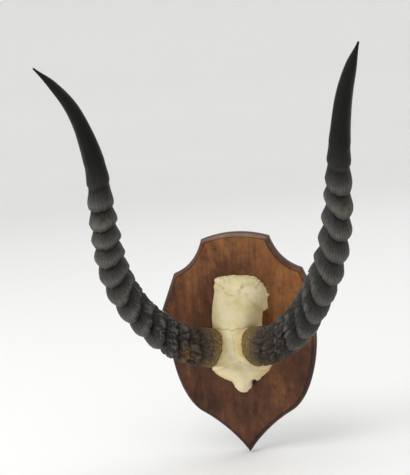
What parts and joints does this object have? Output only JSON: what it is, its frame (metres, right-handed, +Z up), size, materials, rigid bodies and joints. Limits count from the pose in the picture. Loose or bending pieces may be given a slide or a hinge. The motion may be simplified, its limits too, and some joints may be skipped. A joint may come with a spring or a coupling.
{
  "type": "kob skull mount",
  "caption": "Wall trophy: ringed, lyre-shaped antelope horns on a cut skull cap, fixed to a carved hardwood shield with a keyhole plate behind.",
  "frame": {"origin": "on the back face of the shield, midway between its top and its point, on the midline", "axes": "+X to the right seen from the front, +Y back into the wall, +Z up"},
  "size_m": [0.3779, 0.209, 0.5503],
  "materials": {
    "wood": "reddish-brown stained hardwood, satin polish, mottled and darker towards the lower left, with a worn moulded edge",
    "bone": "dry cream bone, slightly yellowed, with sutures, pits and ochre stains beside the horns",
    "horn": "dark grey-brown keratin, dull with fine lengthwise lines on the rings, smoother and near black at the tips, brown and fibrous at the base",
    "brass": "dull aged brass",
    "steel": "plain steel, slightly dulled"
  },
  "bodies": {
    "root": {"shield": "wood", "skull_cap": "bone", "horn_left": "horn", "horn_right": "horn", "hanger_plate": "brass", "hanger_screw_upper": "brass", "hanger_screw_lower": "brass", "skull_screw_upper": "steel", "skull_screw_lower": "steel"}
  },
  "joints": []
}
